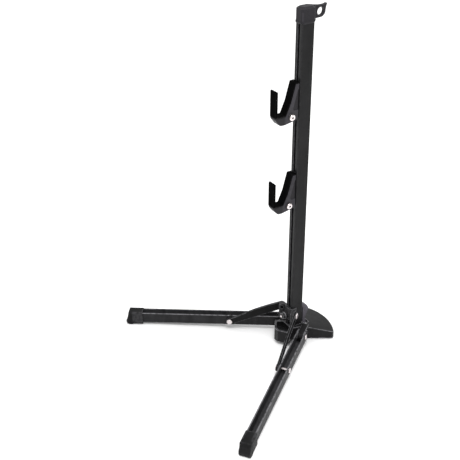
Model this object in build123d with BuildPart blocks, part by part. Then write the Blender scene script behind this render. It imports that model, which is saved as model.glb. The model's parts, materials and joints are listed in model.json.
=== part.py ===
from build123d import *
import os
from math import atan2, cos, hypot, radians, sin

# Folding two-hook floor stand. Millimetres, Z up, X is the symmetry direction.
# The origin is on the floor, under the axis of the column. The hooks face -Y.

os.makedirs("parts", exist_ok=True)

# ---------------------------------------------------------------- driving sizes
FIT = 0.25                     # running clearance between moving plastic and metal

COLUMN_W = 14.4                # column section, X
COLUMN_D = 19.0                # column section, Y
COLUMN_WALL = 1.5
COLUMN_SLOT = 4.2              # open slot down the front of the column
COLUMN_Z0 = 8.0
COLUMN_Z1 = 497.0

LEG_ANGLE = 36.6               # each leg, in plan, from straight ahead (-Y)
LEG_OFFSET = 17.95             # leg centre line from the column axis, sideways
LEG_W = 13.3
LEG_H = 16.8
LEG_WALL = 1.5
LEG_TILT = 1.3                 # the legs run slightly downhill, degrees
PIVOT_S = 20.0                 # leg pivot: distance along the leg direction
PIVOT_Z = 18.5
LEG_BACK = 10.0                # channel behind the pivot
FLOOR_BACK = 3.5               # the channel floor reaches this far behind the pivot
LEG_FRONT = 227.5              # channel in front of the pivot
LEG_BELOW = 10.0               # channel floor below the pivot
FOOT_LEN = 25.0
FOOT_END = 236.8
FOOT_SKIN = 1.4
FOOT_LEAN = 3.4                # the end of the cap leans back by this much
TOE_R = 6.4                    # round tread under the toe
TREAD_PITCH = 4.2
TREAD_GAP = 1.5

RIVET_S = 97.3                 # brace rivet on the leg
RIVET_Z = 16.0
YOKE_S = 18.5                  # brace pin on the slider
YOKE_Z = 51.0
BRACE_IN = 6.0                 # brace between these two sideways distances
BRACE_OUT = 9.0
PIN_R = 2.5

SLIDER_Z0 = 39.0
SLIDER_Z1 = 57.0

HUB_Z0 = 1.2
HUB_TOP = 23.8                 # hub top beside the column
NOSE_FRONT = -32.4
NOSE_FLAT = 3.7
NOSE_SIDE = 3.0
NOSE_Z0 = 4.8                  # the nose stays clear of the floor
NOSE_TOP = 25.5
TRAY_Z = 16.0                  # floor of the open tray in the nose
FOOT_R = 65.9                  # rear foot rim radius
FOOT_CENTRE_Y = -6.75
FOOT_RIM_Z = 13.2
FOOT_APEX_Y = -14.2            # where the two straight side walls would meet
FOOT_HALF_ANGLE = 32.8
HUB_SHELL = 2.6

HOOK_Z = {"upper": 367.4, "lower": 237.6}     # floor of each hook's cradle
HOOK_W = 12.4
SCREW_Y = -20.5
SCREW_DZ = -4.4

CAP_Z0 = 482.6
CAP_Z1 = 501.2

SCREW_R = 2.5                  # column screw
LATCH_W = 11.0                 # latch lever behind the column
LATCH_Y = 15.9
LATCH_Z = 19.5
LATCH_PIN_R = 1.5
LATCH_PIN_X = 10.0
LATCH_NOSE_Z = 45.7
BOLT_Z = 45.0                  # clamp bolt of the slider
BOLT_R = 1.8
SEAT_Y = 18.2
CLAMP_R = 2.0                  # clamp screws of the hooks
LOOP_Y = 21.3                  # hanging loop of the cap
LOOP_Z = 494.0
LOOP_R = 5.3
LOOP_T = 4.8
SOLE_TOP = 2.6
SOLE_Y = 26.0

# ---------------------------------------------------------------- directions
ANGLE = radians(LEG_ANGLE)
AHEAD = Vector(sin(ANGLE), -cos(ANGLE), 0)     # right leg, away from the column
ASIDE = Vector(cos(ANGLE), sin(ANGLE), 0)      # square to it, away from the middle


def side_plane(sideways):
    """Plane square to ASIDE: sketch x runs along the right leg, y runs up.

    A positive extrusion goes towards the middle of the stand."""
    return Plane(origin=ASIDE * sideways, x_dir=AHEAD, z_dir=ASIDE * -1)


def leg_plane(sideways):
    """As side_plane, with its origin on the leg pivot and tilted with the leg."""
    tilt = radians(LEG_TILT)
    direction = AHEAD * cos(tilt) + Vector(0, 0, -sin(tilt))
    origin = ASIDE * sideways + AHEAD * PIVOT_S + Vector(0, 0, PIVOT_Z)
    return Plane(origin=origin, x_dir=direction, z_dir=ASIDE * -1)


def yz_plane(x):
    """Plane square to X: sketch x is Y, sketch y is Z, extrusion goes to +X."""
    return Plane(origin=(x, 0, 0), x_dir=(0, 1, 0), z_dir=(1, 0, 0))


def along(distance, sideways):
    """Plan position on the right side, from leg direction and sideways distance."""
    point = AHEAD * distance + ASIDE * sideways
    return (point.X, point.Y)


def both_sides(right):
    """Plan closed by the mirror image of its right half, listed from front to back."""
    with BuildSketch() as plan:
        with BuildLine():
            Polyline(*right, *[(-x, y) for x, y in reversed(right)], close=True)
        make_face()
    return plan.sketch


def save(builder, name):
    builder.part.label = name
    export_step(builder.part, f"parts/{name}.step")


def save_pair(builder, name):
    """Writes the right-hand piece and its mirror image for the left."""
    save(builder, f"{name}_right")
    with BuildPart() as other:
        mirror(builder.part, about=Plane.YZ)
    save(other, f"{name}_left")


# ================================================================ column
with BuildPart() as column:
    with BuildSketch(Plane.XY.offset(COLUMN_Z0)):
        RectangleRounded(COLUMN_W, COLUMN_D, 1.4)
        Rectangle(COLUMN_W - 2 * COLUMN_WALL, COLUMN_D - 2 * COLUMN_WALL, mode=Mode.SUBTRACT)
        with Locations((0, -COLUMN_D / 2)):
            Rectangle(COLUMN_SLOT, 4 * COLUMN_WALL, mode=Mode.SUBTRACT)
    extrude(amount=COLUMN_Z1 - COLUMN_Z0)
    # window in the back wall for the nose of the latch
    with BuildSketch(Plane.XZ.offset(-COLUMN_D / 2 - 1)):
        with Locations((0, LATCH_NOSE_Z)):
            Rectangle(6.4, 6)
    extrude(amount=5, mode=Mode.SUBTRACT)
save(column, "column")

CORE_W = COLUMN_W - 2 * COLUMN_WALL
CORE_D = COLUMN_D - 2 * COLUMN_WALL
with BuildPart() as column_core:
    with BuildSketch(Plane.XY.offset(COLUMN_Z0)):
        Rectangle(CORE_W - 0.1, CORE_D - 0.1)
    extrude(amount=26)
    with BuildSketch(Plane.XY.offset(COLUMN_Z0)):
        Circle(SCREW_R)
    extrude(amount=18, mode=Mode.SUBTRACT)
    chamfer(column_core.faces().sort_by(Axis.Z)[-1].edges(), 0.8)
save(column_core, "column_core")

# ================================================================ hub
def foot_sector(radius, inset):
    """Plan of the rear foot: a sector with straight side walls, moved in by inset."""
    half = radians(FOOT_HALF_ANGLE)
    apex = FOOT_APEX_Y + inset / sin(half)
    reach = 90
    with BuildSketch() as plan:
        with Locations((0, FOOT_CENTRE_Y)):
            Circle(radius - inset)
        with BuildLine():
            Polyline((0, apex), (reach * sin(half), apex + reach * cos(half)),
                     (-reach * sin(half), apex + reach * cos(half)), close=True)
        make_face(mode=Mode.INTERSECT)
        with BuildLine():
            Polyline((-60, -8), (60, -8), (60, 90), (-60, 90), close=True)
        make_face(mode=Mode.INTERSECT)
    return plan.sketch


def nose_plan(inset):
    """Plan of the hub's nose: a flat front and two faces square to the legs."""
    face_along = NOSE_FLAT * AHEAD.X - NOSE_FRONT * -AHEAD.Y - inset
    side = NOSE_SIDE - inset
    outer_x, outer_y = along(face_along, side)
    back_x, back_y = along(4.0, side)
    front_y = NOSE_FRONT + inset
    flat = NOSE_FLAT - inset * 0.3
    right = [(flat, front_y), (outer_x, outer_y), (back_x, back_y), (back_x, 4)]
    return both_sides(right)


ARM_IN = LEG_OFFSET - LEG_W / 2 + LEG_WALL + FIT      # hub arm fits inside the channel
ARM_OUT = LEG_OFFSET + LEG_W / 2 - LEG_WALL - FIT
ARM_R = 6.8
SOCKET_FRONT = -COLUMN_D / 2 - 1.7

with BuildPart() as hub:
    # rear foot: a low cone under a straight-sided sector
    with BuildSketch(Plane(origin=(0, FOOT_CENTRE_Y, 0), x_dir=(1, 0, 0), z_dir=(0, -1, 0))):
        with BuildLine():
            Polyline((0, HUB_Z0), (FOOT_R, HUB_Z0), (FOOT_R, FOOT_RIM_Z - 1.5),
                     (FOOT_R - 1.5, FOOT_RIM_Z), (15, HUB_TOP), (0, HUB_TOP), close=True)
        make_face()
    revolve(axis=Axis((0, FOOT_CENTRE_Y, 0), (0, 0, 1)))
    with BuildSketch():
        add(foot_sector(FOOT_R + 5, 0))
    extrude(amount=40, mode=Mode.INTERSECT)
    corners = hub.edges().filter_by(Axis.Z).filter_by(lambda e: e.center().Y > 30)
    fillet(corners, 3.0)
    # nose box and the block round the foot of the column
    with BuildSketch(Plane.XY.offset(NOSE_Z0)):
        add(nose_plan(0))
    extrude(amount=NOSE_TOP - NOSE_Z0)
    # arms inside the leg channels
    for flip in (1, -1):
        with BuildPart(mode=Mode.PRIVATE) as arm:
            with BuildSketch(side_plane(ARM_OUT)):
                with Locations((PIVOT_S, PIVOT_Z)):
                    Circle(ARM_R)
                with Locations((PIVOT_S / 2 - 1.5, PIVOT_Z)):
                    Rectangle(PIVOT_S + 3, 2 * ARM_R)
            extrude(amount=ARM_OUT - ARM_IN)
            with BuildSketch(side_plane(ARM_OUT + 1)):
                with Locations((PIVOT_S, PIVOT_Z)):
                    Circle(PIN_R + 0.05)
            extrude(amount=ARM_OUT - ARM_IN + 2, mode=Mode.SUBTRACT)
        if flip == 1:
            add(arm.part)
        else:
            mirror(arm.part, about=Plane.YZ)
    # shoulder block that carries the arms and the column
    with BuildSketch(Plane.XY.offset(HUB_Z0)):
        with BuildLine():
            Polyline((-10.5, SOCKET_FRONT), (10.5, SOCKET_FRONT), (14, 2), (16, 12), (-16, 12),
                     (-14, 2), close=True)
        make_face()
    extrude(amount=HUB_TOP + 1.0 - HUB_Z0)
    # open tray inside the nose
    with BuildSketch(Plane.XY.offset(TRAY_Z)):
        add(nose_plan(HUB_SHELL))
        with BuildLine():
            Polyline((-40, SOCKET_FRONT - 1), (40, SOCKET_FRONT - 1), (40, 20), (-40, 20), close=True)
        make_face(mode=Mode.SUBTRACT)
    extrude(amount=40, mode=Mode.SUBTRACT)
    # column socket
    with BuildSketch(Plane.XY.offset(COLUMN_Z0)):
        RectangleRounded(COLUMN_W + 0.1, COLUMN_D + 0.1, 1.4)
    extrude(amount=60, mode=Mode.SUBTRACT)
    # hollow underside of the rear foot
    with BuildSketch(Plane.XY.offset(HUB_Z0)):
        add(foot_sector(FOOT_R, HUB_SHELL + 0.6))
        with BuildLine():
            Polyline((-60, -40), (60, -40), (60, 23), (-60, 23), close=True)
        make_face(mode=Mode.SUBTRACT)
        Rectangle(2.4, 200, mode=Mode.SUBTRACT)
    extrude(amount=9.4 - HUB_Z0, mode=Mode.SUBTRACT)
    # counterbored hole for the screw that holds the column from below
    with BuildSketch():
        Circle(5.0)
    extrude(amount=4.6, mode=Mode.SUBTRACT)
    with BuildSketch():
        Circle(SCREW_R + 0.2)
    extrude(amount=12, mode=Mode.SUBTRACT)
    # pocket for the latch lever, and the cross hole for its pin
    with BuildSketch(yz_plane(LATCH_W / 2 + FIT)):
        with BuildLine():
            Polyline((11.4, 30), (11.4, 15), (22.4, 15), (25.5, 30), close=True)
        make_face()
    extrude(amount=-(LATCH_W + 2 * FIT), mode=Mode.SUBTRACT)
    with BuildSketch(yz_plane(LATCH_PIN_X)):
        with Locations((LATCH_Y, LATCH_Z)):
            Circle(LATCH_PIN_R)
    extrude(amount=-2 * LATCH_PIN_X, mode=Mode.SUBTRACT)
    # seat for the rubber sole
    with BuildSketch():
        add(foot_sector(FOOT_R, 1.2))
        add(foot_sector(FOOT_R, 12.5), mode=Mode.SUBTRACT)
        with BuildLine():
            Polyline((-60, -40), (60, -40), (60, SOLE_Y), (-60, SOLE_Y), close=True)
        make_face(mode=Mode.SUBTRACT)
    extrude(amount=SOLE_TOP, mode=Mode.SUBTRACT)
save(hub, "hub")

with BuildPart() as rear_sole:
    with BuildSketch():
        add(foot_sector(FOOT_R, 1.4))
        add(foot_sector(FOOT_R, 12.3), mode=Mode.SUBTRACT)
        with BuildLine():
            Polyline((-60, -40), (60, -40), (60, SOLE_Y + 0.2), (-60, SOLE_Y + 0.2), close=True)
        make_face(mode=Mode.SUBTRACT)
    extrude(amount=SOLE_TOP)
    # tread grooves across the strip
    with BuildSketch():
        with Locations(*[(x, 40) for x in range(-30, 31, 6)]):
            Rectangle(1.2, 80)
    extrude(amount=0.9, mode=Mode.SUBTRACT)
save(rear_sole, "rear_sole")

# rubber plug over the head of the column screw, level with the floor
with BuildPart() as pad:
    with BuildSketch():
        Circle(8.5)
    extrude(amount=HUB_Z0)
    with BuildSketch(Plane.XY.offset(HUB_Z0)):
        Circle(4.9)
    extrude(amount=0.4)
save(pad, "centre_pad")

with BuildPart() as column_screw:
    with BuildSketch(Plane.XY.offset(HUB_Z0 + 0.4)):
        Circle(4.6)
    extrude(amount=4.6 - HUB_Z0 - 0.4)
    with BuildSketch(Plane.XY.offset(4.6)):
        Circle(SCREW_R)
    extrude(amount=19)
    with BuildSketch(Plane.XY.offset(HUB_Z0 + 0.4)):
        RegularPolygon(2.3, 6)
    extrude(amount=2.0, mode=Mode.SUBTRACT)
save(column_screw, "column_screw")

# latch lever behind the column, and its pin
with BuildPart() as latch:
    with BuildSketch(yz_plane(LATCH_W / 2)):
        with BuildLine():
            Polyline((12.4, LATCH_Z), (12.2, 43.2), (8.2, 43.8), (8.2, 47.6), (12.2, 48.2),
                     (12.9, 50.8), (20.4, 51.3), (23.2, 45.4), (16.6, 30), (18.8, LATCH_Z),
                     close=True)
        make_face()
        with Locations((LATCH_Y, LATCH_Z)):
            Circle(3.5)
    extrude(amount=-LATCH_W)
    with BuildSketch(yz_plane(12)):
        with Locations((LATCH_Y, LATCH_Z)):
            Circle(LATCH_PIN_R + 0.06)
    extrude(amount=-24, mode=Mode.SUBTRACT)
    # the nose is narrower than the lever, to pass the window in the column
    for side in (1, -1):
        with BuildSketch(Plane.XY.offset(40)):
            with Locations((side * (3.0 + 5), 9.5)):
                Rectangle(10, 5.2)
        extrude(amount=12, mode=Mode.SUBTRACT)
    thumb = latch.faces().filter_by(lambda f: f.center().Y > 17 and f.center().Z > 34 and f.area > 60)
    rims = thumb.edges().filter_by(lambda e: e.center().Y > 13 and e.center().Z > 31)
    fillet(rims, 1.6)
save(latch, "latch_lever")

with BuildPart() as latch_pin:
    with BuildSketch(yz_plane(LATCH_PIN_X)):
        with Locations((LATCH_Y, LATCH_Z)):
            Circle(LATCH_PIN_R)
    extrude(amount=-2 * LATCH_PIN_X)
save(latch_pin, "latch_pin")


# ================================================================ legs
CHANNEL_IN = LEG_OFFSET - LEG_W / 2
CHANNEL_OUT = LEG_OFFSET + LEG_W / 2
RIVET_DS = RIVET_S - PIVOT_S
RIVET_DZ = RIVET_Z - PIVOT_Z
TILT = radians(LEG_TILT)
RIVET_X = RIVET_DS * cos(TILT) - RIVET_DZ * sin(TILT)      # rivet in the tilted leg frame
RIVET_Y = RIVET_DS * sin(TILT) + RIVET_DZ * cos(TILT)
CHANNEL_MID = (LEG_FRONT - LEG_BACK) / 2
CHANNEL_LEN = LEG_FRONT + LEG_BACK
CHANNEL_MID_Y = LEG_H / 2 - LEG_BELOW

with BuildPart() as leg:
    with BuildSketch(leg_plane(CHANNEL_OUT)):
        with Locations((CHANNEL_MID, CHANNEL_MID_Y)):
            Rectangle(CHANNEL_LEN, LEG_H)
    extrude(amount=LEG_W)
    with BuildSketch(leg_plane(CHANNEL_OUT - LEG_WALL)):
        with Locations((CHANNEL_MID, CHANNEL_MID_Y + LEG_WALL)):
            Rectangle(CHANNEL_LEN + 2, LEG_H)
    extrude(amount=LEG_W - 2 * LEG_WALL, mode=Mode.SUBTRACT)
    # rounded inner end of both walls
    heels = leg.edges().filter_by(lambda e: abs(e.length - LEG_WALL) < 0.01)
    heels = heels.sort_by(lambda e: (e.center().X * AHEAD.X + e.center().Y * AHEAD.Y))[:2]
    fillet(heels, 4.0)
    # outside corners of the folded sheet
    lower = leg.edges().filter_by(lambda e: e.length > 200).sort_by(Axis.Z)[:4]
    fillet(lower.sort_by(Axis.Z)[:2], 1.2)
    with BuildSketch(leg_plane(CHANNEL_OUT + 1)):
        with Locations((0, 0)):
            Circle(PIN_R + 0.08)
        with Locations((RIVET_X, RIVET_Y)):
            Circle(PIN_R)
    extrude(amount=LEG_W + 2, mode=Mode.SUBTRACT)
    # the floor of the channel stops short of the pivot, so that the hub arm clears it
    with BuildSketch(leg_plane(CHANNEL_OUT - LEG_WALL)):
        with Locations((-LEG_BACK, -LEG_BELOW)):
            Rectangle(2 * (LEG_BACK - FLOOR_BACK), 4 * LEG_WALL)
    extrude(amount=LEG_W - 2 * LEG_WALL, mode=Mode.SUBTRACT)
save_pair(leg, "leg")

CAP_IN = CHANNEL_IN - FOOT_SKIN
CAP_OUT = CHANNEL_OUT + FOOT_SKIN
CAP_START = FOOT_END - FOOT_LEN
with BuildPart() as foot:
    with BuildSketch(leg_plane(CAP_OUT)):
        with BuildLine():
            Polyline((CAP_START, -LEG_BELOW - FOOT_SKIN), (FOOT_END, -LEG_BELOW - FOOT_SKIN),
                     (FOOT_END - FOOT_LEAN, LEG_H - LEG_BELOW + FOOT_SKIN),
                     (CAP_START, LEG_H - LEG_BELOW + FOOT_SKIN), close=True)
        make_face()
    extrude(amount=CAP_OUT - CAP_IN)
    ridges = foot.edges().filter_by(lambda e: e.length > CAP_OUT - CAP_IN + 1)
    fillet(ridges.sort_by(Axis.Z)[-2:], 2.6)
    end_face = foot.faces().sort_by(lambda f: f.center().X * AHEAD.X + f.center().Y * AHEAD.Y)[-1]
    fillet(end_face.edges().sort_by(Axis.Z)[-3:], 0.9)
    # round tread under the toe, level with the floor
    with BuildSketch(side_plane(CAP_OUT)):
        with Locations((PIVOT_S + FOOT_END - TOE_R + 0.3, TOE_R - 0.2)):
            Circle(TOE_R)
        with Locations((PIVOT_S + FOOT_END, -5)):
            Rectangle(40, 10, mode=Mode.SUBTRACT)
    extrude(amount=CAP_OUT - CAP_IN)
    # socket for the channel, with a core that plugs the inside of the channel
    with BuildSketch(leg_plane(CHANNEL_OUT + 0.05)):
        with Locations(((CAP_START - 1 + LEG_FRONT) / 2, CHANNEL_MID_Y)):
            Rectangle(LEG_FRONT - CAP_START + 1.2, LEG_H + 0.1)
    extrude(amount=LEG_W + 0.1, mode=Mode.SUBTRACT)
    with BuildSketch(leg_plane(CHANNEL_OUT - LEG_WALL - 0.05)):
        with Locations(((CAP_START + LEG_FRONT) / 2 + 0.5, CHANNEL_MID_Y + LEG_WALL / 2 + 0.4)):
            Rectangle(LEG_FRONT - CAP_START, LEG_H - LEG_WALL + 0.7)
    extrude(amount=LEG_W - 2 * LEG_WALL - 0.1)
    # grooves along the tread
    for step in (-1, 0, 1):
        with BuildSketch(side_plane(LEG_OFFSET + step * TREAD_PITCH + TREAD_GAP / 2)):
            with Locations((PIVOT_S + FOOT_END - 7, 0)):
                Rectangle(20, 3.0)
        extrude(amount=TREAD_GAP, mode=Mode.SUBTRACT)
save_pair(foot, "foot_cap")


def domed_pin(axis_s, axis_z, inner, outer, radius, head_r, head_t, inner_head_r=0.0):
    """Pin square to the leg: shank, domed outer head and, with a radius, a peened inner one."""
    with BuildPart(mode=Mode.PRIVATE) as pin:
        with BuildSketch(side_plane(outer)):
            with Locations((axis_s, axis_z)):
                Circle(radius)
        extrude(amount=outer - inner)
        with BuildSketch(side_plane(outer + head_t)):
            with Locations((axis_s, axis_z)):
                Circle(head_r)
        extrude(amount=head_t)
        crown = pin.edges().filter_by(GeomType.CIRCLE)
        crown = crown.sort_by(lambda e: e.center().X * ASIDE.X + e.center().Y * ASIDE.Y)[-1]
        fillet(crown, head_t * 0.8)
        if inner_head_r:
            with BuildSketch(side_plane(inner)):
                with Locations((axis_s, axis_z)):
                    Circle(inner_head_r)
            extrude(amount=head_t * 0.8)
            tail = pin.edges().filter_by(GeomType.CIRCLE)
            tail = tail.sort_by(lambda e: e.center().X * ASIDE.X + e.center().Y * ASIDE.Y)[0]
            fillet(tail, head_t * 0.5)
    return pin.part


with BuildPart() as pivot_pins:
    right_pin = domed_pin(PIVOT_S, PIVOT_Z, CHANNEL_IN - 0.1, CHANNEL_OUT + 0.1, PIN_R, 4.0, 1.6)
    add(right_pin)
    mirror(right_pin, about=Plane.YZ)
save(pivot_pins, "leg_pivot_pins")

with BuildPart() as brace_rivet:
    add(domed_pin(RIVET_S, RIVET_Z, BRACE_IN - 0.1, CHANNEL_OUT, PIN_R, 3.9, 1.7, 4.2))
save_pair(brace_rivet, "brace_rivet")

with BuildPart() as spacer:
    with BuildSketch(side_plane(CHANNEL_IN)):
        with Locations((RIVET_S, RIVET_Z)):
            Circle(4.6)
            Circle(PIN_R, mode=Mode.SUBTRACT)
    extrude(amount=CHANNEL_IN - BRACE_OUT - 0.1)
save_pair(spacer, "brace_spacer")

# ================================================================ braces
BRACE_LEN = hypot(RIVET_S - YOKE_S, YOKE_Z - RIVET_Z)
BRACE_RISE = atan2(YOKE_Z - RIVET_Z, RIVET_S - YOKE_S)


def brace_plane(sideways):
    """Origin on the rivet, sketch x towards the slider pin, y away from the floor."""
    plane = side_plane(sideways)
    x_dir = AHEAD * -cos(BRACE_RISE) + Vector(0, 0, sin(BRACE_RISE))
    origin = ASIDE * sideways + AHEAD * RIVET_S + Vector(0, 0, RIVET_Z)
    return Plane(origin=origin, x_dir=x_dir, z_dir=plane.z_dir * -1)


def brace_outline(inset):
    """Side view of the brace: a slim rivet end that swells into a deep upper half."""
    with BuildSketch() as outline:
        Circle(5.0 - inset)
        with Locations((BRACE_LEN, 0)):
            Circle(6.0 - inset)
        with BuildLine():
            Spline((0, 5.0 - inset), (14, 4.6 - inset), (34, 6.4 - inset), (60, 7.2 - inset),
                   (BRACE_LEN, 6.0 - inset))
            Line((BRACE_LEN, 6.0 - inset), (BRACE_LEN, inset - 6.0))
            Line((BRACE_LEN, inset - 6.0), (62, inset - 5.6))
            Line((62, inset - 5.6), (0, inset - 5.0))
            Line((0, inset - 5.0), (0, 5.0 - inset))
        make_face()
    return outline.sketch


with BuildPart() as brace:
    with BuildSketch(brace_plane(BRACE_IN)):
        add(brace_outline(0))
    extrude(amount=BRACE_OUT - BRACE_IN)
    # pressed hollow on the outer side, solid round both pins
    with BuildSketch(brace_plane(BRACE_IN + 1.5)):
        add(brace_outline(1.5))
        Circle(6.5, mode=Mode.SUBTRACT)
        with Locations((BRACE_LEN, 0)):
            Circle(7.0, mode=Mode.SUBTRACT)
    extrude(amount=BRACE_OUT, mode=Mode.SUBTRACT)
    with BuildSketch(brace_plane(BRACE_IN - 1)):
        with Locations((0, 0)):
            Circle(PIN_R + 0.08)
        with Locations((BRACE_LEN, 0)):
            Circle(PIN_R)
    extrude(amount=10, mode=Mode.SUBTRACT)
save_pair(brace, "brace")

with BuildPart() as yoke_pin:
    add(domed_pin(YOKE_S, YOKE_Z, BRACE_IN, BRACE_OUT, PIN_R, 4.8, 1.7))
save_pair(yoke_pin, "brace_pin")

# ================================================================ slider
FRONT_S = 14.6                 # front faces of the slider, square to the two legs
STEP_Z = 50.0                  # top of the lower block, where the slope begins
LUG_OUT = 5.7
LUG_T = 4.7
APEX = Vector(0, -FRONT_S / cos(ANGLE), 0)
WING = AHEAD * FRONT_S + ASIDE * LUG_OUT
BACK_X = 8.9                   # half width beside the column

with BuildPart() as slider:
    block_side = [(5.4, APEX.Y + 4.0), (WING.X, WING.Y), (BACK_X, -5.0), (8.4, -2.2)]
    collar_side = [(3.2, -13.0), (9.2, -10.2), (9.2, -5.0), (8.4, -2.2)]
    with BuildSketch(Plane.XY.offset(SLIDER_Z0)):
        add(both_sides(block_side))
    extrude(amount=STEP_Z - SLIDER_Z0)
    # sloping shoulder against the column
    with BuildSketch(Plane.XY.offset(STEP_Z)):
        add(both_sides(block_side))
    with BuildSketch(Plane.XY.offset(SLIDER_Z1)):
        add(both_sides(collar_side))
    loft()
    # ears that carry the braces
    for side in (1, -1):
        with BuildPart(mode=Mode.PRIVATE) as ear:
            with BuildSketch(side_plane(LUG_OUT)) as lug:
                with BuildLine():
                    Polyline((10.6, SLIDER_Z0), (22.8, SLIDER_Z0 + 2), (22.8, 54.9), (17.4, 57.6),
                             (12.3, 55.9), (10.6, 52.5), close=True)
                make_face()
                fillet(lug.vertices(), 1.4)
            extrude(amount=LUG_T)
        if side > 0:
            add(ear.part)
        else:
            mirror(ear.part, about=Plane.YZ)
    # opening that straddles the column
    with BuildSketch(Plane.XY.offset(SLIDER_Z0 - 1)):
        with Locations((0, -COLUMN_D / 2 + 10)):
            Rectangle(COLUMN_W + 2 * FIT + 0.1, 20 + 2 * FIT)
    extrude(amount=30, mode=Mode.SUBTRACT)
    # round seat for the nut, bolt hole, and the bores of the brace pins
    with BuildSketch(Plane.XZ.offset(-APEX.Y - 5.0)):
        with Locations((0, BOLT_Z)):
            Circle(5.2)
    extrude(amount=SEAT_Y - (-APEX.Y - 5.0))
    with BuildSketch(Plane.XZ.offset(30)):
        with Locations((0, BOLT_Z)):
            Circle(BOLT_R)
    extrude(amount=-30, mode=Mode.SUBTRACT)
    for side in (1, -1):
        with BuildPart(mode=Mode.PRIVATE) as bore:
            with BuildSketch(side_plane(LUG_OUT + 0.2)):
                with Locations((YOKE_S, YOKE_Z)):
                    Circle(PIN_R + 0.1)
            extrude(amount=LUG_T + 0.6)
        if side > 0:
            add(bore.part, mode=Mode.SUBTRACT)
        else:
            mirror(bore.part, about=Plane.YZ, mode=Mode.SUBTRACT)
save(slider, "slider")

GUIDE_X = COLUMN_W / 2 - COLUMN_WALL - FIT
GUIDE_FRONT = COLUMN_D / 2 - COLUMN_WALL - FIT
NECK_X = COLUMN_SLOT / 2 - FIT

with BuildPart() as guide:
    with BuildSketch(Plane.XZ.offset(GUIDE_FRONT)):
        with Locations((0, BOLT_Z + 1.5)):
            Rectangle(2 * GUIDE_X, 15)
    extrude(amount=-8.5)
    with BuildSketch(Plane.XZ.offset(COLUMN_D / 2 + FIT)):
        with Locations((0, BOLT_Z + 1.5)):
            Rectangle(2 * NECK_X, 15)
    extrude(amount=-COLUMN_WALL - 3)
    with BuildSketch(Plane.XZ.offset(12)):
        with Locations((0, BOLT_Z)):
            Circle(BOLT_R)
    extrude(amount=-20, mode=Mode.SUBTRACT)
    with BuildSketch(Plane.XZ.offset(GUIDE_FRONT - 8.6)):
        with Locations((0, BOLT_Z)):
            Circle(3.2)
    extrude(amount=3.2, mode=Mode.SUBTRACT)
save(guide, "slider_guide")

with BuildPart() as bolt:
    with BuildSketch(Plane.XZ.offset(SEAT_Y + 6.2)):
        with Locations((0, BOLT_Z)):
            Circle(BOLT_R)
    extrude(amount=-(SEAT_Y + 6.2 - GUIDE_FRONT + 5.5))
    with BuildSketch(Plane.XZ.offset(GUIDE_FRONT - 5.5)):
        with Locations((0, BOLT_Z)):
            Circle(3.0)
    extrude(amount=-2.4)
    chamfer(bolt.faces().sort_by(Axis.Y)[0].edges(), 0.4)
save(bolt, "slider_bolt")

with BuildPart() as nut:
    with BuildSketch(Plane.XZ.offset(SEAT_Y)):
        with Locations((0, BOLT_Z)):
            RegularPolygon(5.0, 6, rotation=30)
            Circle(BOLT_R, mode=Mode.SUBTRACT)
    extrude(amount=4.4)
    with BuildSketch(Plane.XZ.offset(SEAT_Y)):
        with Locations((0, BOLT_Z)):
            Circle(5.6)
            Circle(BOLT_R, mode=Mode.SUBTRACT)
    extrude(amount=0.8)
save(nut, "slider_nut")

# ================================================================ hooks
ARM_Y = -43.0                  # inner face of the free arm
# side view of the inside of the cradle: Y, and height over its floor
CRADLE = [(ARM_Y, 33.6), (ARM_Y, 0.0), (-31.0, 0.0), (-23.9, 16.2), (-17.1, 40.5)]
LINER = 1.0
STRIP = 1.3
STRIP_W = HOOK_W - 2 * LINER
SLEEVE = 2 * LINER + STRIP     # the free arm is wrapped on both faces
ARM_TOP = 34.6
CARRIAGE_X = 5.8
CARRIAGE_REAR = -10.0
POCKET = 0.8
WASHER_T = 1.0
HEAD_R = 4.3                    # button head of the clamp screw
HEAD_T = 2.2


def shifted(points, distance):
    """The line moved away from the hollow of the cradle, with mitred corners."""
    normals = []
    for a, b in zip(points, points[1:]):
        run = hypot(b[0] - a[0], b[1] - a[1])
        normals.append(((b[1] - a[1]) / run, (a[0] - b[0]) / run))
    moved = []
    for i, (y, z) in enumerate(points):
        n1 = normals[max(i - 1, 0)]
        n2 = normals[min(i, len(normals) - 1)]
        scale = distance / (1 + n1[0] * n2[0] + n1[1] * n2[1])
        moved.append((y + (n1[0] + n2[0]) * scale, z + (n1[1] + n2[1]) * scale))
    return moved


def band(points, near, far):
    """Closed outline of a layer that follows the cradle between two depths."""
    with BuildSketch() as layer:
        inner = shifted(points, near)
        outer = shifted(points, far)
        with BuildLine():
            FilletPolyline(*inner, radius=1.2 + near)
            Line(inner[-1], outer[-1])
            FilletPolyline(*outer, radius=1.2 + far)
            Line(outer[0], inner[0])
        make_face()
    return layer.sketch


def cradle_side(points, depth):
    """Everything above a line that follows the cradle at one depth."""
    with BuildSketch() as region:
        edge = shifted(points, depth)
        with BuildLine():
            FilletPolyline(*edge, radius=1.2 + depth)
            Polyline(edge[-1], (edge[-1][0], 60), (edge[0][0], 60), edge[0])
        make_face()
    return region.sketch


def hook_plane(z, x):
    """Sketch x is Y and sketch y is the height over the cradle floor."""
    return Plane(origin=(x, 0, z), x_dir=(0, 1, 0), z_dir=(1, 0, 0))


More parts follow.
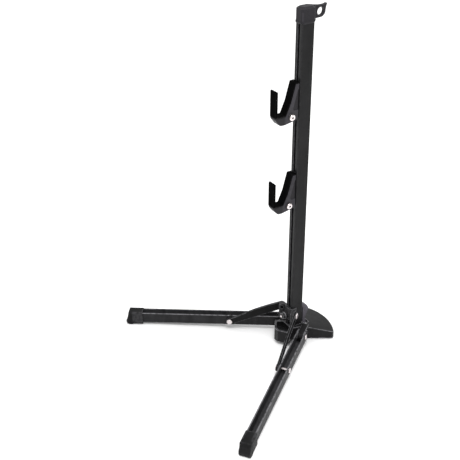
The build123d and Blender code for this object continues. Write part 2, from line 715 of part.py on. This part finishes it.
for place, z in HOOK_Z.items():
    with BuildPart() as strip:
        with BuildSketch(hook_plane(z, -STRIP_W / 2)):
            add(band(CRADLE[:-1] + [(-17.352, 39.6)], LINER, LINER + STRIP))
        extrude(amount=STRIP_W)
    save(strip, f"hook_plate_{place}")

    with BuildPart() as rubber:
        with BuildSketch(hook_plane(z, -HOOK_W / 2)):
            add(band(CRADLE, 0, LINER))
        extrude(amount=HOOK_W)
        # sleeve round the free arm
        with BuildSketch(hook_plane(z, -HOOK_W / 2)):
            with BuildLine():
                Polyline((ARM_Y - SLEEVE, -0.9), (ARM_Y - 1.2, -0.9), (ARM_Y, 1.0), (ARM_Y, ARM_TOP),
                         (ARM_Y - SLEEVE, ARM_TOP), close=True)
            make_face()
        extrude(amount=HOOK_W)
        crown = rubber.edges().filter_by(Axis.X).filter_by(
            lambda e: e.center().Z > z + ARM_TOP - 0.1 and e.center().Y < -42)
        fillet(crown, 1.3)
        # lip that wraps over the top of the carriage
        with BuildSketch(hook_plane(z, -HOOK_W / 2)):
            with BuildLine():
                Polyline((-17.2, 40.2), (-16.5, 41.6), (-10.4, 41.6), (-10.4, 39.9), (-16.2, 39.9),
                         close=True)
            make_face()
        extrude(amount=HOOK_W)
        # the strip lies inside
        with BuildSketch(hook_plane(z, -STRIP_W / 2)):
            add(band(CRADLE, LINER, LINER + STRIP))
        extrude(amount=STRIP_W, mode=Mode.SUBTRACT)
    save(rubber, f"hook_rubber_{place}")

    with BuildPart() as carriage:
        with BuildSketch(hook_plane(z, -CARRIAGE_X)):
            with BuildLine():
                Polyline((CARRIAGE_REAR, 39.8), (-18.0, 39.8), (-30.0, -1.0), (-46.0, -1.0),
                         (-46.0, -3.2), (-40.2, -11.0), (-37.8, -12.9), (-31.5, -13.2),
                         (-20.0, -11.2), (-12.0, -9.6), (CARRIAGE_REAR, -6.0), close=True)
            make_face()
            with Locations((SCREW_Y, SCREW_DZ)):
                Circle(6.4)
        extrude(amount=2 * CARRIAGE_X)
        # everything on the cradle side of the strip
        with BuildSketch(hook_plane(z, -CARRIAGE_X - 1)):
            add(cradle_side(CRADLE, LINER + STRIP))
        extrude(amount=2 * CARRIAGE_X + 2, mode=Mode.SUBTRACT)
        # shallow pockets behind a rim that follows the cradle
        for side in (1, -1):
            with BuildSketch(hook_plane(z, side * (CARRIAGE_X - POCKET))):
                with BuildLine():
                    Polyline((CARRIAGE_REAR + 1, 32), (-11.6, 32), (-18.6, 6.5), (-17.6, 4.0),
                             (CARRIAGE_REAR + 1, 4.0), close=True)
                make_face()
            extrude(amount=side * 2, mode=Mode.SUBTRACT)
        # fork that straddles the eye, hole of the clamp screw
        with BuildSketch(hook_plane(z, -NECK_X - 0.1)):
            with BuildLine():
                Polyline((-9, 2), (-22.5, 2), (-26.0, -2.5), (-26.0, -8), (-24.0, -16), (-9, -16),
                         close=True)
            make_face()
        extrude(amount=2 * NECK_X + 0.2, mode=Mode.SUBTRACT)
        with BuildSketch(hook_plane(z, -9)):
            with Locations((SCREW_Y, SCREW_DZ)):
                Circle(CLAMP_R)
        extrude(amount=18, mode=Mode.SUBTRACT)
        # tongue at the top, held behind the lips of the column
        with BuildSketch(hook_plane(z, -NECK_X)):
            with Locations(((CARRIAGE_REAR - GUIDE_FRONT) / 2, 32)):
                Rectangle(-CARRIAGE_REAR - GUIDE_FRONT + 1.0, 12)
        extrude(amount=2 * NECK_X)
        with BuildSketch(hook_plane(z, -GUIDE_X)):
            with Locations((-GUIDE_FRONT + 1.5, 32)):
                Rectangle(3.0, 12)
        extrude(amount=2 * GUIDE_X)
    save(carriage, f"hook_carriage_{place}")

    with BuildPart() as eye:
        with BuildSketch(hook_plane(z, -NECK_X)):
            with Locations((SCREW_Y, SCREW_DZ)):
                Circle(4.6)
            with BuildLine():
                Polyline((SCREW_Y, SCREW_DZ + 4.6), (-GUIDE_FRONT + 1, SCREW_DZ + 4.6),
                         (-GUIDE_FRONT + 1, SCREW_DZ - 4.6), (SCREW_Y, SCREW_DZ - 4.6), close=True)
            make_face()
            with Locations((SCREW_Y, SCREW_DZ)):
                Circle(CLAMP_R, mode=Mode.SUBTRACT)
        extrude(amount=2 * NECK_X)
        with BuildSketch(hook_plane(z, -GUIDE_X)):
            with Locations((-GUIDE_FRONT + 2.0, SCREW_DZ)):
                Rectangle(4.0, 15)
        extrude(amount=2 * GUIDE_X)
    save(eye, f"hook_slot_nut_{place}")

    with BuildPart() as screw:
        with BuildSketch(hook_plane(z, -CARRIAGE_X - 3.6)):
            with Locations((SCREW_Y, SCREW_DZ)):
                Circle(CLAMP_R)
        extrude(amount=2 * CARRIAGE_X + 4.6)
        with BuildSketch(hook_plane(z, CARRIAGE_X + WASHER_T)):
            with Locations((SCREW_Y, SCREW_DZ)):
                Circle(HEAD_R)
        extrude(amount=HEAD_T)
        fillet(screw.faces().sort_by(Axis.X)[-1].edges(), 1.5)
        with BuildSketch(hook_plane(z, CARRIAGE_X + WASHER_T + HEAD_T)):
            with Locations((SCREW_Y, SCREW_DZ)):
                RegularPolygon(1.6, 6)
        extrude(amount=-1.4, mode=Mode.SUBTRACT)
    save(screw, f"hook_screw_{place}")

    with BuildPart() as washer:
        with BuildSketch(hook_plane(z, CARRIAGE_X)):
            with Locations((SCREW_Y, SCREW_DZ)):
                Circle(HEAD_R + 0.6)
                Circle(CLAMP_R, mode=Mode.SUBTRACT)
        extrude(amount=WASHER_T)
    save(washer, f"hook_washer_{place}")

    with BuildPart() as lock:
        with BuildSketch(hook_plane(z, -CARRIAGE_X)):
            with Locations((SCREW_Y, SCREW_DZ)):
                RegularPolygon(4.1, 6)
                Circle(CLAMP_R, mode=Mode.SUBTRACT)
        extrude(amount=-3.0)
    save(lock, f"hook_nut_{place}")

# ================================================================ top cap
CAP_X = 8.5                    # half width of the cap over its collar
CAP_FRONT = -11.5
CAP_BACK = 13.0
CAP_COLLAR = 0.5               # the collar stands out from the upper part by this much
CAP_CROWN = 2.6                # rise of the sloping top


def cap_plan(inset):
    """Plan of the cap: narrow chamfers in front, wide ones towards the loop."""
    side = CAP_X - inset
    front = CAP_FRONT + inset
    back = CAP_BACK - inset
    return both_sides([(side - 3.0, front), (side, front + 3.0), (side, back - 4.5), (side - 4.5, back)])


with BuildPart() as cap:
    # collar that widens upwards from the rim, then the upper part
    for bottom, top, low_inset, high_inset in (
            (CAP_Z0, CAP_Z0 + 2.2, 0.9, 0.0),
            (CAP_Z0 + 2.2, CAP_Z0 + 5.4, 0.0, CAP_COLLAR),
            (CAP_Z0 + 5.4, CAP_Z1, CAP_COLLAR, CAP_COLLAR),
            (CAP_Z1, CAP_Z1 + CAP_CROWN, CAP_COLLAR, 3.4)):
        with BuildSketch(Plane.XY.offset(bottom)):
            add(cap_plan(low_inset))
        with BuildSketch(Plane.XY.offset(top)):
            add(cap_plan(high_inset))
        loft()
    fillet(cap.faces().sort_by(Axis.Z)[-1].edges(), 1.4)
    # hanging loop with a raised tip
    with BuildSketch(yz_plane(-LOOP_T / 2)):
        with Locations((LOOP_Y, LOOP_Z)):
            Circle(7.4)
        with BuildLine():
            Spline((6.0, CAP_Z1 + 2.3), (14.0, 502.6), (22.0, 501.6), (31.0, 502.9))
            Spline((31.0, 502.9), (29.4, 498.5), (28.7, LOOP_Z))
            Line((28.7, LOOP_Z), (LOOP_Y, 486.6))
            Line((LOOP_Y, 486.6), (6.0, 485.6))
            Line((6.0, 485.6), (6.0, CAP_Z1 + 2.3))
        make_face()
        with Locations((LOOP_Y, LOOP_Z)):
            Circle(LOOP_R, mode=Mode.SUBTRACT)
    extrude(amount=LOOP_T)
    # socket for the column
    with BuildSketch(Plane.XY.offset(CAP_Z0 - 1)):
        RectangleRounded(COLUMN_W + 0.1, COLUMN_D + 0.1, 1.5)
    extrude(amount=COLUMN_Z1 - CAP_Z0 + 1.05, mode=Mode.SUBTRACT)
save(cap, "top_cap")
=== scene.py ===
"""Looks of the folding hook stand: soft edges, coatings, rubber, bright steel, studio and camera."""

import json
import math

import bpy
from mathutils import Matrix, Vector

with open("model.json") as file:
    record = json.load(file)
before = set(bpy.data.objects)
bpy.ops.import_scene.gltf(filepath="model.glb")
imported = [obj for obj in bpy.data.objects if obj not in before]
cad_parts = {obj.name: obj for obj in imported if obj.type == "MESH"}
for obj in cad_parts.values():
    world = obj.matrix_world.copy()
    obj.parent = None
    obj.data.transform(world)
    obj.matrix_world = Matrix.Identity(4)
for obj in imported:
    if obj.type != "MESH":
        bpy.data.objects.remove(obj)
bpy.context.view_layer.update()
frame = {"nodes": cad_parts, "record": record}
nodes = frame["nodes"]
MM = 0.001


# ---------------------------------------------------------------- soft edges
def soften(node, width, angle=28, segments=2):
    """Rounds the sharp edges of a CAD node by a width in millimetres."""
    obj = nodes[node]
    weld = obj.modifiers.new("weld", "WELD")
    weld.merge_threshold = 0.004 * MM
    flat = obj.modifiers.new("flat", "DECIMATE")
    flat.decimate_type = "DISSOLVE"
    flat.angle_limit = math.radians(0.4)
    bevel = obj.modifiers.new("bevel", "BEVEL")
    bevel.width = width * MM
    bevel.segments = segments
    bevel.limit_method = "ANGLE"
    bevel.angle_limit = math.radians(angle)
    bevel.use_clamp_overlap = True
    bevel.harden_normals = False
    for polygon in obj.data.polygons:
        polygon.use_smooth = True
    normals = obj.modifiers.new("normals", "WEIGHTED_NORMAL")
    normals.keep_sharp = True


# ---------------------------------------------------------------- shader helpers
class Tree:
    """A material under construction, with short calls for the nodes used here."""

    def __init__(self, name):
        self.material = bpy.data.materials.new(name)
        self.material.use_nodes = True
        self.tree = self.material.node_tree
        self.tree.nodes.clear()
        self.out = self.add("ShaderNodeOutputMaterial")
        self.shader = self.add("ShaderNodeBsdfPrincipled")
        self.link(self.shader.outputs[0], self.out.inputs[0])
        self.where = self.add("ShaderNodeTexCoord").outputs["Object"]

    def add(self, kind, **values):
        node = self.tree.nodes.new(kind)
        for key, value in values.items():
            setattr(node, key, value)
        return node

    def link(self, a, b):
        self.tree.links.new(a, b)

    def noise(self, scale, detail=3.0, rough=0.55, stretch=None):
        """Noise with a number of waves per metre, drawn out along the axes where stretch is small."""
        node = self.add("ShaderNodeTexNoise")
        node.inputs["Scale"].default_value = scale
        node.inputs["Detail"].default_value = detail
        node.inputs["Roughness"].default_value = rough
        where = self.where
        if stretch:
            mapping = self.add("ShaderNodeMapping")
            mapping.inputs["Scale"].default_value = stretch
            self.link(self.where, mapping.inputs[0])
            where = mapping.outputs[0]
        self.link(where, node.inputs["Vector"])
        return node.outputs["Fac"]

    def spread(self, value, low, high, to_low=0.0, to_high=1.0):
        """Maps low..high to to_low..to_high, clamped."""
        node = self.add("ShaderNodeMapRange")
        node.inputs["From Min"].default_value = low
        node.inputs["From Max"].default_value = high
        node.inputs["To Min"].default_value = to_low
        node.inputs["To Max"].default_value = to_high
        self.link(value, node.inputs["Value"])
        return node.outputs["Result"]

    def math(self, operation, a, b=None, clamp=False):
        node = self.add("ShaderNodeMath", operation=operation, use_clamp=clamp)
        for socket, value in zip(node.inputs, (a, b)):
            if isinstance(value, (int, float)):
                socket.default_value = value
            elif value is not None:
                self.link(value, socket)
        return node.outputs[0]

    def mix(self, share, a, b):
        """Colour a, turning to b as share goes to 1. Each is a tuple or a socket."""
        node = self.add("ShaderNodeMix", data_type="RGBA")
        self.link(share, node.inputs["Factor"])
        for socket, value in ((node.inputs[6], a), (node.inputs[7], b)):
            if isinstance(value, tuple):
                socket.default_value = (*value, 1)
            else:
                self.link(value, socket)
        return node.outputs[2]

    def rounded(self, radius):
        """Surface normal with every edge rounded by a radius in millimetres."""
        bevel = self.add("ShaderNodeBevel", samples=6)
        bevel.inputs["Radius"].default_value = radius * MM
        return bevel.outputs[0]

    def edges(self, reach, gain):
        """1 along outer edges, 0 on flats and in inner corners. Reach in millimetres."""
        inside = self.add("ShaderNodeAmbientOcclusion", samples=8, inside=True, only_local=True)
        inside.inputs["Distance"].default_value = reach * MM
        return self.math("MULTIPLY", self.math("SUBTRACT", 1.0, inside.outputs["AO"]), gain, clamp=True)

    def openness(self, reach, only_local=True, low=0.2, high=0.75):
        """1 on open surfaces, 0 deep inside slots and hollows. Reach in millimetres.

        Low and high are the occlusion values that count as deep and as open."""
        outside = self.add("ShaderNodeAmbientOcclusion", samples=8, only_local=only_local)
        outside.inputs["Distance"].default_value = reach * MM
        return self.spread(outside.outputs["AO"], low, high)

    def raised(self, half_width, front):
        """1 on the side faces beyond a half width in X and behind a depth in Y, in millimetres."""
        split = self.add("ShaderNodeSeparateXYZ")
        self.link(self.where, split.inputs[0])
        outside = self.math("ABSOLUTE", split.outputs["X"])
        outside = self.spread(outside, (half_width - 0.1) * MM, half_width * MM)
        return self.math("MULTIPLY", outside, self.spread(split.outputs["Y"], (front - 3) * MM, front * MM))

    def bump(self, radius, *layers):
        """Rounded edges under bumps given as (height, strength, distance in millimetres)."""
        normal = self.rounded(radius)
        for height, strength, distance in layers:
            node = self.add("ShaderNodeBump")
            node.inputs["Strength"].default_value = strength
            node.inputs["Distance"].default_value = distance * MM
            self.link(height, node.inputs["Height"])
            self.link(normal, node.inputs["Normal"])
            normal = node.outputs[0]
        self.link(normal, self.shader.inputs["Normal"])


def grey(value, tint=(1.0, 0.99, 1.05)):
    """Grey of an albedo, leaning to a tint."""
    return tuple(value * part for part in tint)


# Tints, then albedos: dust on surfaces and in the grain; painted highlights, partly wear, along the edges
# of coats, rubber and steel; and painted shade in the steel's crevices, given as a share of the steel's own
# shade.
VIOLET = (1.03, 0.96, 1.14)
WARM = (1.06, 0.98, 0.98)
DUST_SHADE = 0.10
GRAIN_DUST_SHADE = 0.14
EDGE_HIGHLIGHT_SHADE = 0.3
RUBBER_HIGHLIGHT_SHADE = 0.08
STEEL_HIGHLIGHT_SHADE = 0.85
CREVICE_PAINTED_SHADE = 0.08


def coating(name, shade, rough, grain=900, depth=0.03, highlight_and_wear=0.35, specular=0.2, crest=0.6,
            reach=0.8, hollow=8.0, high=0.75, inner=0.15):
    """Satin powder coat: fine orange peel, handling marks, and a painted highlight along outer edges that
    is partly wear.

    Hollows get painted light and shade: their colour is the outside shade times inner, darker below 1 and
    lighter above 1."""
    tree = Tree(name)
    free = tree.openness(hollow, high=high)
    gloss = tree.spread(free, 0.0, 1.0, specular * min(inner, 1.5), specular)
    tree.link(gloss, tree.shader.inputs["Specular IOR Level"])
    cloud = tree.noise(26, 4, 0.62)
    streak = tree.noise(120, 3, 0.6, stretch=(1, 1, 0.06))
    tone = tree.math("ADD", tree.math("MULTIPLY", cloud, 0.6), tree.math("MULTIPLY", streak, 0.4))
    base = tree.mix(tree.spread(tone, 0.36, 0.62), grey(shade * 0.6), grey(shade * 1.5))
    # Painted light and shade in hollows: the coat's shade times inner.
    painted_hollow_tone = tree.mix(tree.spread(tone, 0.36, 0.62), grey(shade * inner * 0.7), grey(shade * inner * 1.4))
    dust = tree.math("MULTIPLY", tree.spread(tree.noise(420, 4, 0.7), 0.58, 0.74), 0.1)
    base = tree.mix(dust, base, grey(DUST_SHADE))
    patches = tree.spread(tree.noise(180, 4), 0.30, 0.55)
    # Painted highlight along outer edges, partly wear, in patches.
    edge_highlight_and_wear = tree.math("MULTIPLY", tree.edges(reach, 3.0), patches, clamp=True)
    edge_highlight_and_wear = tree.math("MULTIPLY", edge_highlight_and_wear, highlight_and_wear)
    base = tree.mix(edge_highlight_and_wear, base, grey(EDGE_HIGHLIGHT_SHADE))
    tree.link(tree.mix(free, painted_hollow_tone, base), tree.shader.inputs["Base Color"])
    scuffed = tree.spread(tree.noise(75, 5, 0.7), 0.3, 0.7, rough + 0.12, rough - 0.07)
    tree.link(scuffed, tree.shader.inputs["Roughness"])
    tree.bump(crest, (tree.noise(grain, 2, 0.5), 0.35, depth), (tree.noise(60, 2), 0.2, 0.08))
    return tree.material


def plastic(name, shade, rough, grain=1500, depth=0.04, highlight_and_wear=0.3, specular=0.25, tint=VIOLET,
            rim=None):
    """Moulded plastic with a spark-eroded grain, dust in the grain and a painted highlight along the edges
    that is partly wear.

    Everything but a raised rim, given as for Tree.raised, is painted darker, as painted shade on the web."""
    tree = Tree(name)
    tree.shader.inputs["Specular IOR Level"].default_value = specular
    cloud = tree.noise(40, 3)
    pores = tree.noise(grain, 2, 0.6)
    flow = tree.noise(160, 3, 0.6, stretch=(0.15, 1, 1))
    tone = tree.math("ADD", tree.math("MULTIPLY", cloud, 0.65), tree.math("MULTIPLY", flow, 0.35))
    base = tree.mix(tree.spread(tone, 0.36, 0.62), grey(shade * 0.72, tint), grey(shade * 1.3, tint))
    dusty = tree.math("MULTIPLY", tree.spread(pores, 0.55, 0.7), 0.12)
    base = tree.mix(dusty, base, grey(GRAIN_DUST_SHADE, tint))
    # Painted highlight along the edges, partly wear.
    edge_highlight_and_wear = tree.math("MULTIPLY", tree.edges(0.6, 2.2), highlight_and_wear)
    base = tree.mix(edge_highlight_and_wear, base, grey(shade * 2.8, tint))
    # Painted shade on the web inside the carriage rim.
    if rim:
        base = tree.mix(tree.raised(*rim), grey(shade * 0.45, tint), base)
    tree.link(base, tree.shader.inputs["Base Color"])
    tree.link(tree.spread(cloud, 0.3, 0.7, rough + 0.08, rough - 0.06), tree.shader.inputs["Roughness"])
    tree.bump(0.5, (pores, 0.5, depth), (tree.noise(220, 2), 0.15, 0.08))
    return tree.material


def rubber(name, shade, rough=0.75, grain=700, specular=0.12, painted_highlight=0.3, reach=0.9, gain=1.6):
    """Matte rubber: soft, slightly uneven, with painted highlights on outer edges and ridges."""
    tree = Tree(name)
    tree.shader.inputs["Specular IOR Level"].default_value = specular
    cloud = tree.noise(55, 4, 0.6)
    base = tree.mix(tree.spread(cloud, 0.35, 0.68), grey(shade * 0.7), grey(shade * 1.5))
    patches = tree.spread(tree.noise(260, 3), 0.3, 0.6)
    # Painted highlight on outer edges and ridges, in patches.
    high = tree.math("MULTIPLY", tree.edges(reach, gain), patches, clamp=True)
    base = tree.mix(tree.math("MULTIPLY", high, painted_highlight), base, grey(RUBBER_HIGHLIGHT_SHADE))
    tree.link(base, tree.shader.inputs["Base Color"])
    tree.link(tree.spread(cloud, 0.3, 0.7, rough + 0.05, rough - 0.08), tree.shader.inputs["Roughness"])
    tree.bump(0.6, (tree.noise(grain, 3, 0.6), 0.4, 0.05), (tree.noise(90, 2), 0.25, 0.12))
    return tree.material


def bright_steel(name, shade, rough, tint=WARM):
    """Zinc-plated steel: turned or rolled marks, cloudy plating, a painted highlight along outer edges, and
    painted shade in crevices and where other parts come close.
    """
    tree = Tree(name)
    tree.shader.inputs["Metallic"].default_value = 1.0
    cloud = tree.noise(300, 4, 0.6)
    lines = tree.noise(2200, 2, 0.6)
    base = tree.mix(tree.spread(cloud, 0.3, 0.7), grey(shade * 0.75, tint), grey(shade * 1.2, tint))
    # Painted highlight along outer edges.
    steel_edge_highlight = tree.edges(0.35, 1.5)
    base = tree.mix(tree.math("MULTIPLY", steel_edge_highlight, 0.5), base, grey(STEEL_HIGHLIGHT_SHADE, tint))
    # Painted shade in crevices and where other parts come close.
    free = tree.openness(12.0, only_local=False, low=0.5)
    tree.link(tree.mix(free, grey(shade * CREVICE_PAINTED_SHADE, tint), base), tree.shader.inputs["Base Color"])
    tree.link(tree.spread(cloud, 0.3, 0.7, rough + 0.1, rough - 0.06), tree.shader.inputs["Roughness"])
    tree.bump(0.3, (lines, 0.25, 0.012), (cloud, 0.2, 0.03))
    return tree.material


# The raised rim of a hook carriage, in millimetres: beyond this half width of its web in X, and behind
# this depth in Y. The web inside the rim is painted darker, as painted shade.
CARRIAGE_WEB = 5.5
CARRIAGE_RIM_FRONT = -29.0

# Coats with inner above 1 get painted light in their hollows; the default inner paints shade there.
MATERIALS = {
    "column_coat": coating("column_coat", 0.0058, 0.40, grain=1100, depth=0.02, highlight_and_wear=0.3, specular=0.14,
                           crest=0.4),
    "hub_coat": coating("hub_coat", 0.0058, 0.42, grain=800, depth=0.04, highlight_and_wear=0.6, specular=0.14,
                        reach=1.3, hollow=14.0, inner=3.0),
    "slider_plastic": coating("slider_plastic", 0.020, 0.45, grain=1200, highlight_and_wear=0.3, specular=0.15,
                              reach=0.9),
    "leg_coat": coating("leg_coat", 0.0145, 0.42, grain=1000, depth=0.025, highlight_and_wear=0.6, specular=0.08,
                        reach=1.0, hollow=14.0, high=0.98, inner=3.2),
    "brace_coat": coating("brace_coat", 0.004, 0.45, grain=1000, depth=0.02, highlight_and_wear=0.4, specular=0.08),
    "nut_steel": coating("nut_steel", 0.012, 0.3, grain=2500, depth=0.01, highlight_and_wear=0.8, specular=0.3,
                         crest=0.3),
    "cap_plastic": plastic("cap_plastic", 0.012, 0.5, highlight_and_wear=0.6, specular=0.15),
    "carriage_plastic": plastic("carriage_plastic", 0.024, 0.5, specular=0.2,
                                rim=(CARRIAGE_WEB, CARRIAGE_RIM_FRONT)),
    "latch_plastic": plastic("latch_plastic", 0.07, 0.5, specular=0.2),
    "inner_plastic": plastic("inner_plastic", 0.008, 0.55),
    "rubber": rubber("rubber", 0.004, specular=0.06),
    "foot_rubber": rubber("foot_rubber", 0.0068, 0.65, specular=0.09, painted_highlight=0.45, reach=1.6, gain=3.2),
    "hook_rubber": rubber("hook_rubber", 0.0012, 0.85, specular=0.02, painted_highlight=0.08),
    "strip_steel": bright_steel("strip_steel", 0.05, 0.4),
    "rivet_steel": bright_steel("rivet_steel", 0.6, 0.3),
    "screw_steel": bright_steel("screw_steel", 0.75, 0.2),
    "washer_steel": bright_steel("washer_steel", 0.07, 0.4),
}
for part in frame["record"]["subparts"]:
    obj = nodes[part["node"]]
    obj.data.materials.clear()
    obj.data.materials.append(MATERIALS[part["material_slot"]])

# Widths of the rounded edges in millimetres, with the nodes that have them. The rest have SMALL_EDGE.
EDGES = {
    0.4: ("top_cap",),
    0.35: ("leg_right", "leg_left", "foot_cap_right", "foot_cap_left", "hook_carriage_upper",
           "hook_carriage_lower"),
    0.3: ("hub", "latch_lever", "slider", "slider_nut"),
    0.25: ("column",),
}
SMALL_EDGE = 0.2
edge_of = {name: width for width, names in EDGES.items() for name in names}
for name in nodes:
    soften(name, edge_of.get(name, SMALL_EDGE))

# ---------------------------------------------------------------- studio
FLOOR_SHADE = 0.92
FLOOR_HALF = 40.0
FLOOR_GAP = 0.0002
# Strength of the surround at the horizon and overhead, which it reaches at this share of the way up.
SKY_SIDE = 0.8
SKY_TOP = 1.5
SKY_TOP_FROM = 0.9


def studio_floor():
    """Plain pale floor, a hair below the feet."""
    mesh = bpy.data.meshes.new("floor")
    corners = [(x * FLOOR_HALF, y * FLOOR_HALF, 0) for x, y in ((-1, -1), (1, -1), (1, 1), (-1, 1))]
    mesh.from_pydata(corners, [], [(0, 1, 2, 3)])
    floor = bpy.data.objects.new("floor", mesh)
    bpy.context.scene.collection.objects.link(floor)
    floor.location.z = -FLOOR_GAP
    tree = Tree("floor")
    tree.shader.inputs["Roughness"].default_value = 0.9
    tree.shader.inputs["Specular IOR Level"].default_value = 0.1
    shade = tree.mix(tree.noise(3, 2), (FLOOR_SHADE,) * 3, (FLOOR_SHADE * 0.99,) * 3)
    tree.link(shade, tree.shader.inputs["Base Color"])
    mesh.materials.append(tree.material)


def soft_box(name, at, towards, size, power):
    """Square light of a size in metres and a power in watts."""
    light = bpy.data.lights.new(name, "AREA")
    light.shape = "RECTANGLE"
    light.size = size
    light.size_y = size
    light.energy = power
    obj = bpy.data.objects.new(name, light)
    obj.location = at
    obj.rotation_euler = (Vector(towards) - Vector(at)).to_track_quat("-Z", "Y").to_euler()
    bpy.context.scene.collection.objects.link(obj)


def sky():
    """Studio surround, brighter overhead than at the sides."""
    world = bpy.data.worlds.new("studio")
    bpy.context.scene.world = world
    world.use_nodes = True
    shading = world.node_tree
    where = shading.nodes.new("ShaderNodeTexCoord")
    height = shading.nodes.new("ShaderNodeSeparateXYZ")
    ramp = shading.nodes.new("ShaderNodeMapRange")
    ramp.inputs["From Min"].default_value = 0.0
    ramp.inputs["From Max"].default_value = SKY_TOP_FROM
    ramp.inputs["To Min"].default_value = SKY_SIDE
    ramp.inputs["To Max"].default_value = SKY_TOP
    shading.links.new(where.outputs["Generated"], height.inputs[0])
    shading.links.new(height.outputs["Z"], ramp.inputs["Value"])
    background = shading.nodes["Background"]
    background.inputs["Color"].default_value = (1, 1, 1, 1)
    shading.links.new(ramp.outputs[0], background.inputs["Strength"])


sky()
studio_floor()
soft_box("top", at=(0.62, -0.4, 1.6), towards=(0, 0, 0.1), size=0.4, power=12)
soft_box("rim", at=(0.1, 2.2, 0.9), towards=(0, 0, 0.2), size=0.9, power=5)
bpy.context.scene.view_settings.view_transform = "Standard"

# The camera looks at a point beside the column, given along its own right and upward. The shift is a
# share of the width.
AZIMUTH = math.radians(57.54)
ELEVATION = math.radians(28.78)
DISTANCE = 1.13297
TARGET_ALONG = -0.0803
TARGET_UP = 0.22715
SENSOR = 36
LENS = 64.15591
SHIFT = (-0.0221957, -0.0563696)


def camera():
    """Camera at the photograph's viewing angle."""
    level = math.cos(ELEVATION)
    back = Vector((math.sin(AZIMUTH) * level, -math.cos(AZIMUTH) * level, math.sin(ELEVATION)))
    right = Vector((math.cos(AZIMUTH), math.sin(AZIMUTH), 0))
    up = back.cross(right)
    data = bpy.data.cameras.new("camera")
    data.sensor_width = SENSOR
    data.lens = LENS
    data.shift_x, data.shift_y = SHIFT
    data.clip_start = 0.01
    data.clip_end = 50
    obj = bpy.data.objects.new("camera", data)
    place = right * TARGET_ALONG + Vector((0, 0, TARGET_UP)) + back * DISTANCE
    obj.matrix_world = Matrix.Translation(place) @ Matrix((right, up, back)).transposed().to_4x4()
    bpy.context.scene.collection.objects.link(obj)
    bpy.context.scene.camera = obj


camera()
